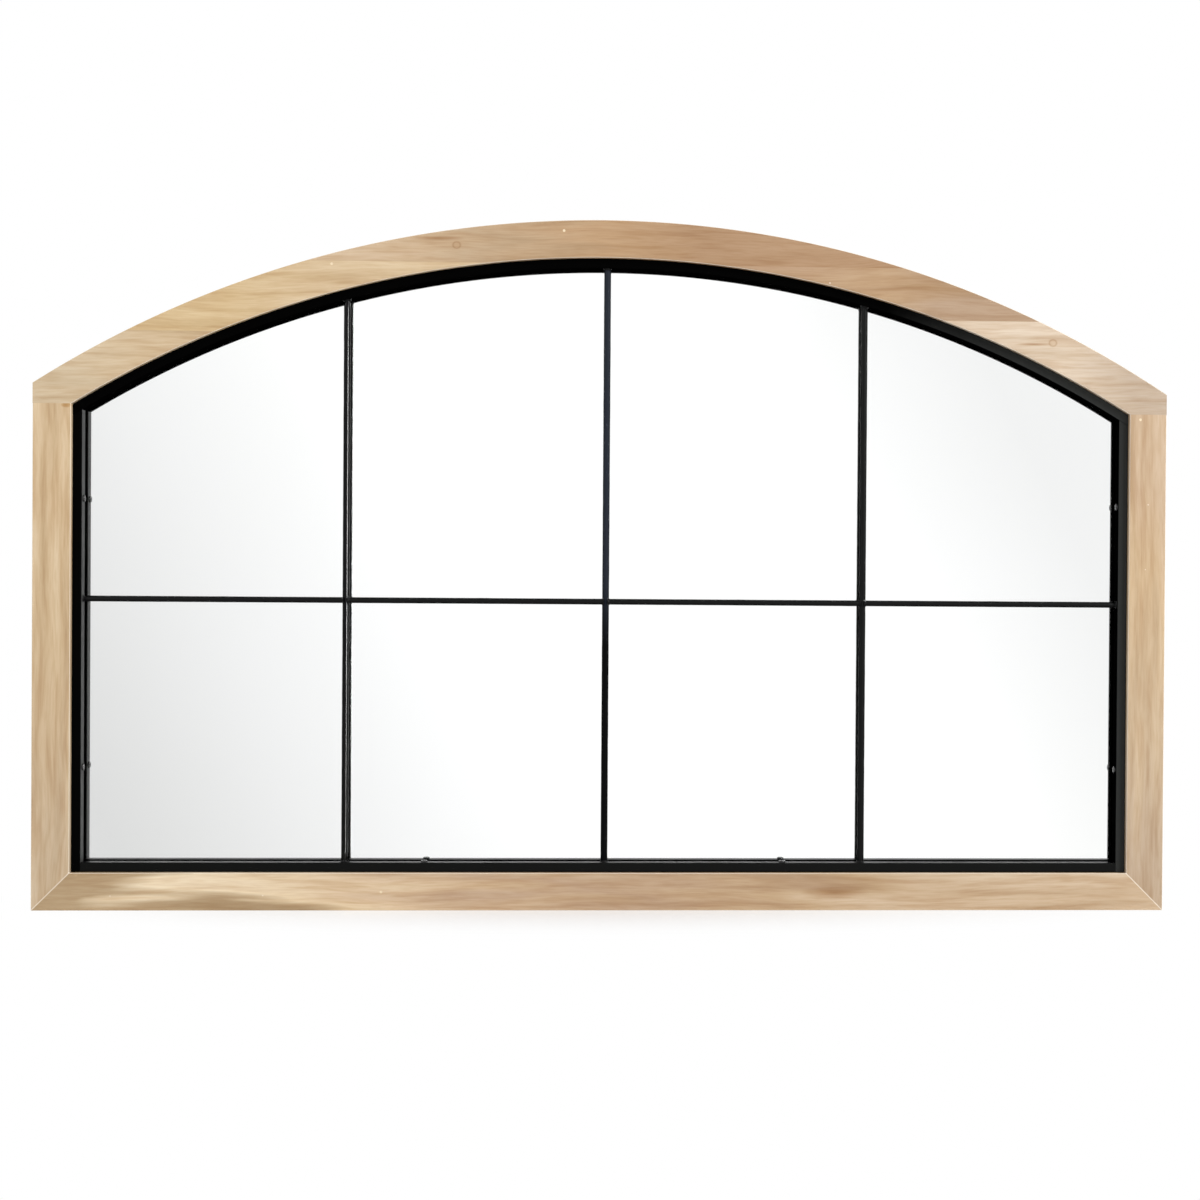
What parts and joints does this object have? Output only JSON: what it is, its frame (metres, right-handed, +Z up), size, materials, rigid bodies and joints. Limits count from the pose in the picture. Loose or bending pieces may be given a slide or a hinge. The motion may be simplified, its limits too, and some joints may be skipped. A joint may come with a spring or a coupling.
{
  "type": "arched window mirror",
  "caption": "Wall mirror shaped as a low arched window: a pale pine frame round a black steel grille of upright rods and one crossbar over mirror glass, with hangers on its back.",
  "frame": {"origin": "on the wall plane, midway between the two wall hooks, at their height", "axes": "+X to the right as seen from the front, +Y into the wall, +Z up; the mirror faces -Y"},
  "size_m": [1, 0.029, 0.61],
  "materials": {
    "pine": "planed and sanded, clear matt",
    "beech_dowel": "fluted dowel, unfinished",
    "wood_filler": "dried filler, sanded flush",
    "black_steel": "satin black powder coat",
    "black_screw": "black phosphate, slightly bright",
    "foam_tape": "black closed-cell foam",
    "mirror": "silvered float glass",
    "hardboard": "smooth brown hardboard",
    "zinc_steel": "bright zinc plate",
    "nickel_wire": "nickel plated wire",
    "bumper_rubber": "moulded rubber"
  },
  "bodies": {
    "frame": {"bottom_rail": "pine", "left_stile": "pine", "right_stile": "pine", "crown_board": "pine", "left_shoulder_board": "pine", "right_shoulder_board": "pine", "left_foot_board": "pine", "right_foot_board": "pine", "joint_dowels": "beech_dowel", "mitre_v_nails": "zinc_steel", "face_brads": "zinc_steel", "filler_plugs": "wood_filler", "grille_arch_bar": "black_steel", "grille_left_bar": "black_steel", "grille_right_bar": "black_steel", "grille_bottom_bar": "black_steel", "muntin_1": "black_steel", "muntin_2": "black_steel", "muntin_3": "black_steel", "crossbar_segment_1": "black_steel", "crossbar_segment_2": "black_steel", "crossbar_segment_3": "black_steel", "crossbar_segment_4": "black_steel", "weld_beads": "black_steel", "grille_screws": "black_screw", "foam_tape_arch": "foam_tape", "foam_tape_left": "foam_tape", "foam_tape_right": "foam_tape", "foam_tape_bottom": "foam_tape", "mirror_glass": "mirror", "backing_board": "hardboard", "turn_button_screws": "zinc_steel", "hanger_strap_left": "zinc_steel", "hanger_strap_right": "zinc_steel", "hanger_screws": "zinc_steel", "wall_bumper_lower_left": "bumper_rubber", "wall_bumper_lower_right": "bumper_rubber", "wall_bumper_upper_left": "bumper_rubber", "wall_bumper_upper_right": "bumper_rubber"},
    "ring_left": {"hanger_ring_left": "nickel_wire"},
    "ring_right": {"hanger_ring_right": "nickel_wire"},
    "button_rail_left": {"turn_button_rail_left": "zinc_steel"},
    "button_rail_middle": {"turn_button_rail_middle": "zinc_steel"},
    "button_rail_right": {"turn_button_rail_right": "zinc_steel"},
    "button_left_low": {"turn_button_left_low": "zinc_steel"},
    "button_left_high": {"turn_button_left_high": "zinc_steel"},
    "button_right_low": {"turn_button_right_low": "zinc_steel"},
    "button_right_high": {"turn_button_right_high": "zinc_steel"},
    "button_arch_left": {"turn_button_arch_left": "zinc_steel"},
    "button_arch_middle": {"turn_button_arch_middle": "zinc_steel"},
    "button_arch_right": {"turn_button_arch_right": "zinc_steel"}
  },
  "joints": [
    {"name": "ring_swing_left", "type": "hinge", "parent": "frame", "child": "ring_left", "pos_m": [-0.4875, -0.0027, -0.0098], "axis": [1, 0, 0], "range_deg": [0, 180]},
    {"name": "ring_swing_right", "type": "hinge", "parent": "frame", "child": "ring_right", "pos_m": [0.4875, -0.0027, -0.0098], "axis": [1, 0, 0], "range_deg": [0, 180]},
    {"name": "button_rail_left_turn", "type": "hinge", "parent": "frame", "child": "button_rail_left", "pos_m": [-0.32, -0.00415, -0.4225], "axis": [0, 1, 0], "continuous": true},
    {"name": "button_rail_middle_turn", "type": "hinge", "parent": "frame", "child": "button_rail_middle", "pos_m": [0, -0.00415, -0.4225], "axis": [0, 1, 0], "continuous": true},
    {"name": "button_rail_right_turn", "type": "hinge", "parent": "frame", "child": "button_rail_right", "pos_m": [0.32, -0.00415, -0.4225], "axis": [0, 1, 0], "continuous": true},
    {"name": "button_left_low_turn", "type": "hinge", "parent": "frame", "child": "button_left_low", "pos_m": [-0.4875, -0.00415, -0.305], "axis": [0, 1, 0], "continuous": true},
    {"name": "button_left_high_turn", "type": "hinge", "parent": "frame", "child": "button_left_high", "pos_m": [-0.4875, -0.00415, -0.115], "axis": [0, 1, 0], "continuous": true},
    {"name": "button_right_low_turn", "type": "hinge", "parent": "frame", "child": "button_right_low", "pos_m": [0.4875, -0.00415, -0.305], "axis": [0, 1, 0], "continuous": true},
    {"name": "button_right_high_turn", "type": "hinge", "parent": "frame", "child": "button_right_high", "pos_m": [0.4875, -0.00415, -0.115], "axis": [0, 1, 0], "continuous": true},
    {"name": "button_arch_left_turn", "type": "hinge", "parent": "frame", "child": "button_arch_left", "pos_m": [-0.309, -0.00415, 0.10802], "axis": [0, 1, 0], "continuous": true},
    {"name": "button_arch_middle_turn", "type": "hinge", "parent": "frame", "child": "button_arch_middle", "pos_m": [0, -0.00415, 0.1625], "axis": [0, 1, 0], "continuous": true},
    {"name": "button_arch_right_turn", "type": "hinge", "parent": "frame", "child": "button_arch_right", "pos_m": [0.309, -0.00415, 0.10802], "axis": [0, 1, 0], "continuous": true}
  ]
}
